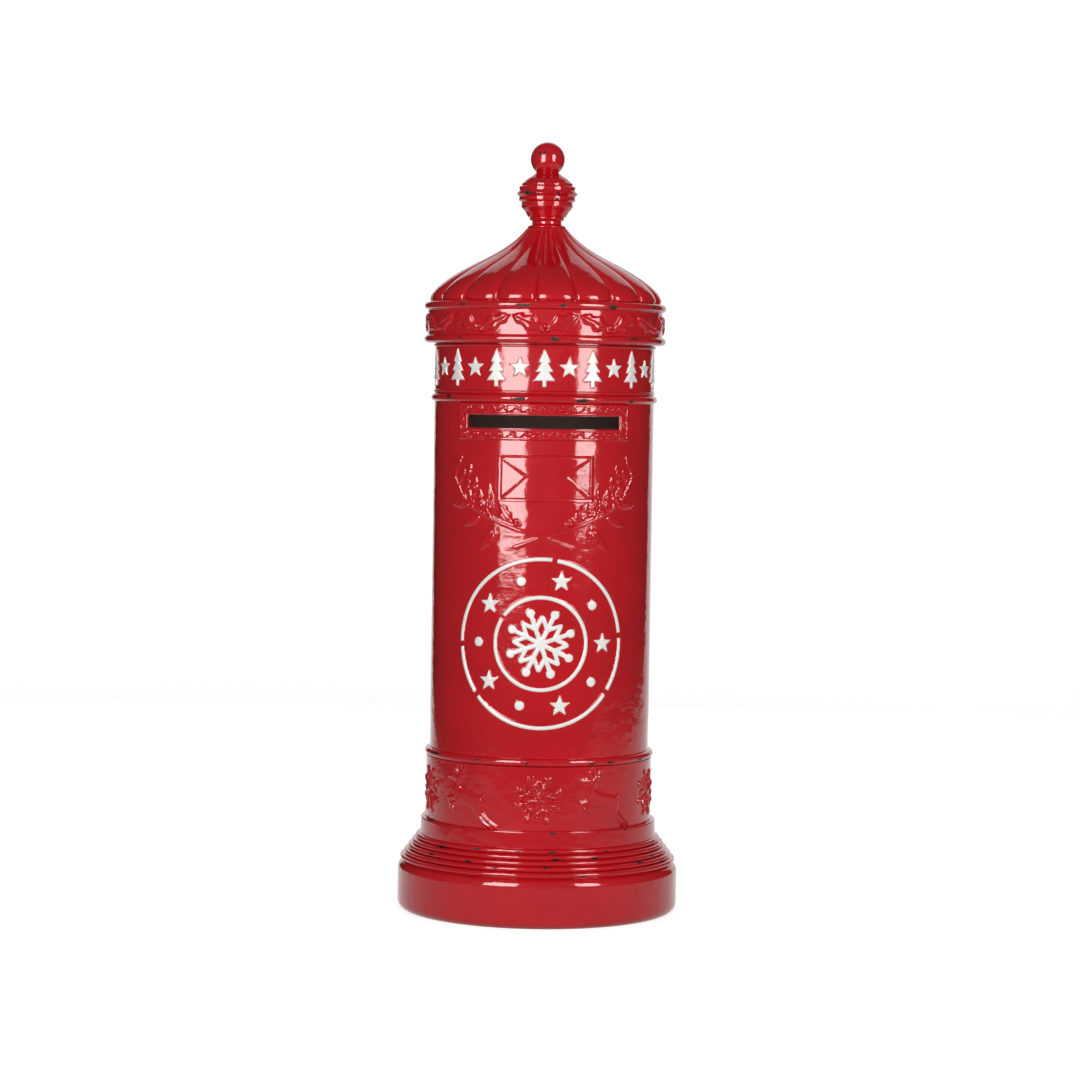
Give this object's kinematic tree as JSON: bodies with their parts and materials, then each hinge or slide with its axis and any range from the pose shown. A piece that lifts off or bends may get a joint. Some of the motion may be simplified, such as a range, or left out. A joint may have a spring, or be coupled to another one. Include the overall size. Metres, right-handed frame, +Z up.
{
  "type": "decorative pillar letter box",
  "caption": "Free-standing red pillar letter box with a lobed dome lid, ball finial, letter slot in front, relief friezes and a hinged rear door.",
  "frame": {"origin": "middle of the underside, where the pillar's axis meets the surface that it stands on", "axes": "+Z up along the pillar's axis to the ball, -Y to the front with the letter slot, +X to the right of someone who faces the front"},
  "size_m": [0.3659, 0.366, 1.0004],
  "materials": {
    "red_enamel": "glossy red enamel on cast resin, black undercoat showing in chips",
    "plywood": "bare sanded plywood",
    "catch_nylon": "moulded nylon",
    "black_knob": "black enamel",
    "brass_hinge": "plated, satin",
    "zinc_steel": "zinc plated",
    "ferrite": "sintered, dark grey"
  },
  "bodies": {
    "casing": {"body_casting": "red_enamel", "lid_casting": "red_enamel", "finial": "red_enamel", "finial_stud": "zinc_steel", "finial_washer": "zinc_steel", "finial_nut": "zinc_steel", "upper_hinge_frame_leaf": "brass_hinge", "upper_hinge_pin": "brass_hinge", "lower_hinge_frame_leaf": "brass_hinge", "lower_hinge_pin": "brass_hinge", "hinge_frame_screws": "zinc_steel", "catch_housing": "catch_nylon", "catch_magnet": "ferrite", "catch_screws": "zinc_steel", "floor_panel": "plywood", "floor_screws": "zinc_steel"},
    "door": {"rear_door": "red_enamel", "upper_hinge_door_leaf": "brass_hinge", "lower_hinge_door_leaf": "brass_hinge", "hinge_door_screws": "zinc_steel", "door_knob": "black_knob", "door_knob_screw": "zinc_steel", "strike_plate": "zinc_steel", "strike_screw": "zinc_steel"}
  },
  "joints": [
    {"name": "door_hinge", "type": "hinge", "parent": "casing", "child": "door", "pos_m": [0.075, 0.127, 0.366], "axis": [0, 0, -1], "range_deg": [0, 170]}
  ]
}
